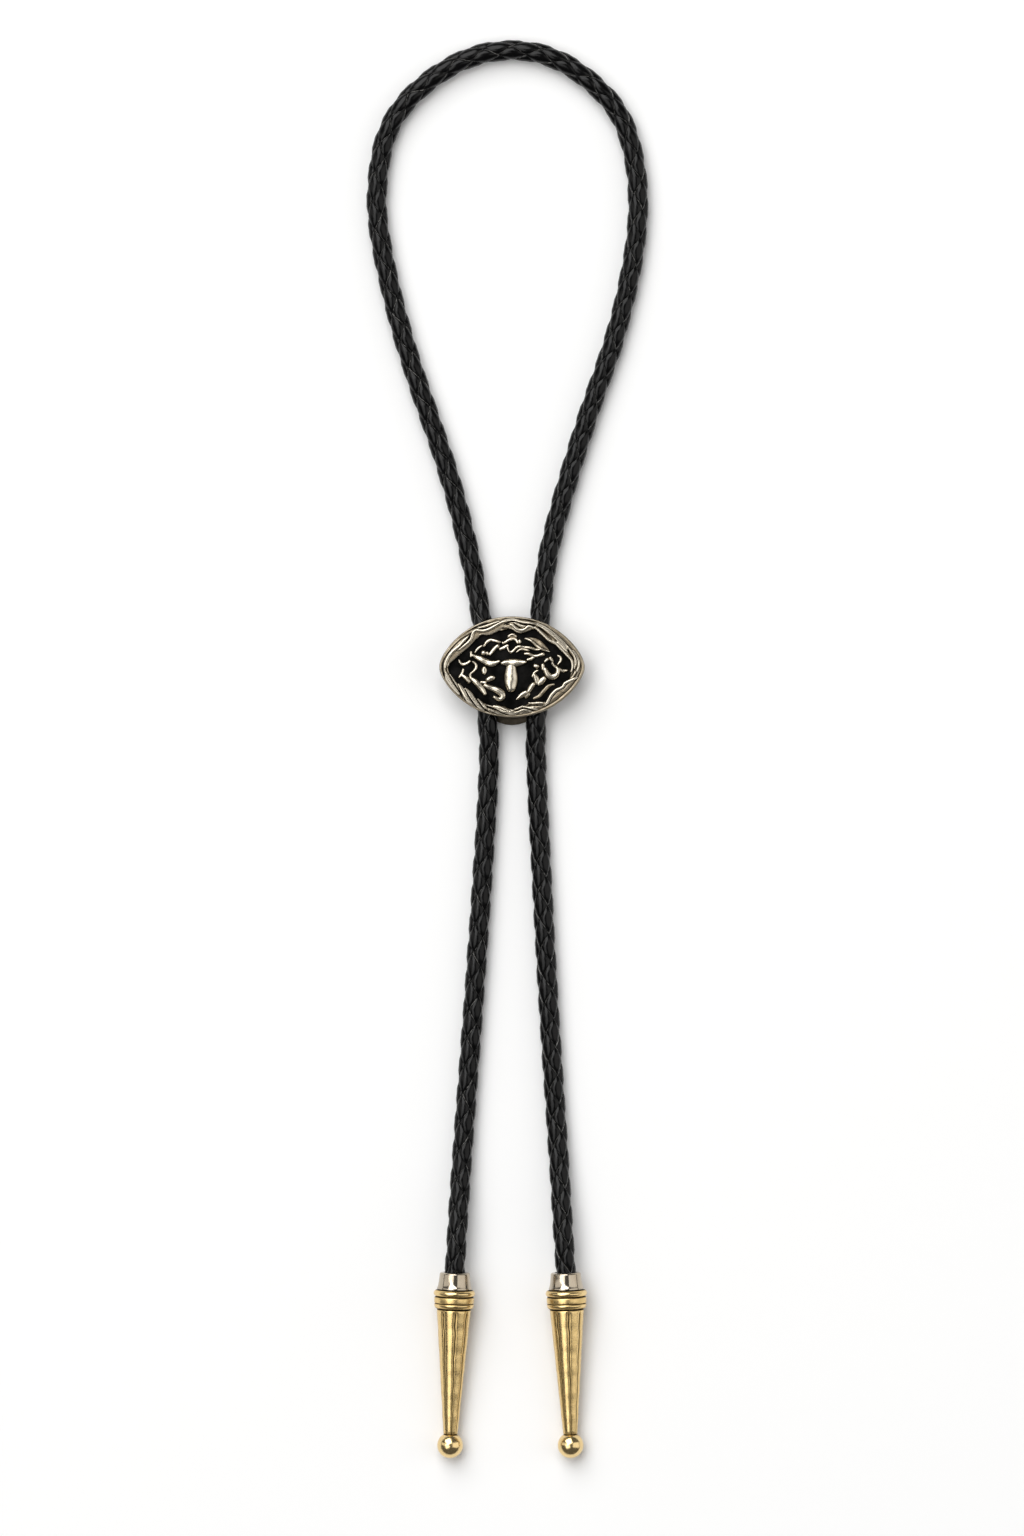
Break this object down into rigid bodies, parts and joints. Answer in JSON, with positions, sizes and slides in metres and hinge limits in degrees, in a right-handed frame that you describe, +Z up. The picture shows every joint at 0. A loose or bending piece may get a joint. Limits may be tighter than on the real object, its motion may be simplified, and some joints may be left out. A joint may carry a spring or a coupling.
{
  "type": "bolo tie",
  "caption": "Bolo tie with an oval cast slide in a twisted rim, a braided leather cord through a clip behind it, and tapered brass tips that end in balls.",
  "frame": {"origin": "on the surface it lies on, under the middle of the slide, at the clip's flat underside", "axes": "+Z up from the surface, +Y from the slide towards the neck loop, +X to the right as the slide is seen from the front"},
  "size_m": [0.0857, 0.4324, 0.0127],
  "materials": {
    "slide_silver": "antiqued cast metal, dark in the hollows and polished on the raised parts",
    "clip_metal": "dull dark metal",
    "cord_leather": "black braided leather, slightly glossy",
    "ferrule_nickel": "polished, warm silver",
    "tip_brass": "antiqued brass, dark in the grooves"
  },
  "bodies": {
    "root": {"slide": "slide_silver", "clip": "clip_metal", "cord": "cord_leather", "left_ferrule": "ferrule_nickel", "left_collar": "tip_brass", "left_point": "tip_brass", "right_ferrule": "ferrule_nickel", "right_collar": "tip_brass", "right_point": "tip_brass"}
  },
  "joints": []
}
